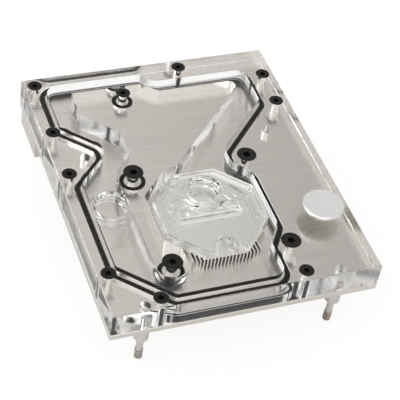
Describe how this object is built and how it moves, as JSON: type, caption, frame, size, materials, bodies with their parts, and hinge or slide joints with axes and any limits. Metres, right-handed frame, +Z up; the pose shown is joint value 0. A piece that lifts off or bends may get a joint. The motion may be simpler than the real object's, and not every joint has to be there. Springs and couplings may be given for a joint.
{
  "type": "monoblock water block",
  "caption": "Flat water block for a computer board: clear acrylic cover on a brushed nickel base, with a milled water channel, black seals and screws, threaded ports and board studs.",
  "frame": {"origin": "centre of the processor contact face under the base", "axes": "+Z up through the cover, +Y towards the back edge over the regulator pad, +X to the right, towards the badge's side"},
  "size_m": [0.1024, 0.124, 0.0332],
  "materials": {
    "clear_acrylic": "polished clear acrylic",
    "insert_acrylic": "milled clear acrylic",
    "brushed_nickel": "nickel plated copper, brushed",
    "black_rubber": "matt",
    "black_steel": "black oxide",
    "plated_steel": "nickel plated",
    "satin_nickel": "satin"
  },
  "bodies": {
    "root": {"clear_cover": "clear_acrylic", "flow_insert": "insert_acrylic", "base_plate": "brushed_nickel", "main_gasket": "black_rubber", "round_badge": "satin_nickel", "jet_plate": "plated_steel", "ring_gasket_1": "black_rubber", "ring_gasket_2": "black_rubber", "ring_gasket_back": "black_rubber", "cover_screw_1": "black_steel", "cover_screw_2": "black_steel", "cover_screw_3": "black_steel", "cover_screw_4": "black_steel", "cover_screw_5": "black_steel", "cover_screw_6": "black_steel", "cover_screw_7": "black_steel", "cover_screw_8": "black_steel", "cover_screw_9": "black_steel", "cover_screw_10": "black_steel", "large_screw_1": "black_steel", "large_screw_2": "black_steel", "large_screw_3": "black_steel", "large_screw_4": "black_steel", "board_stud_1": "plated_steel", "board_stud_2": "plated_steel", "board_stud_3": "plated_steel", "board_stud_4": "plated_steel"}
  },
  "joints": []
}
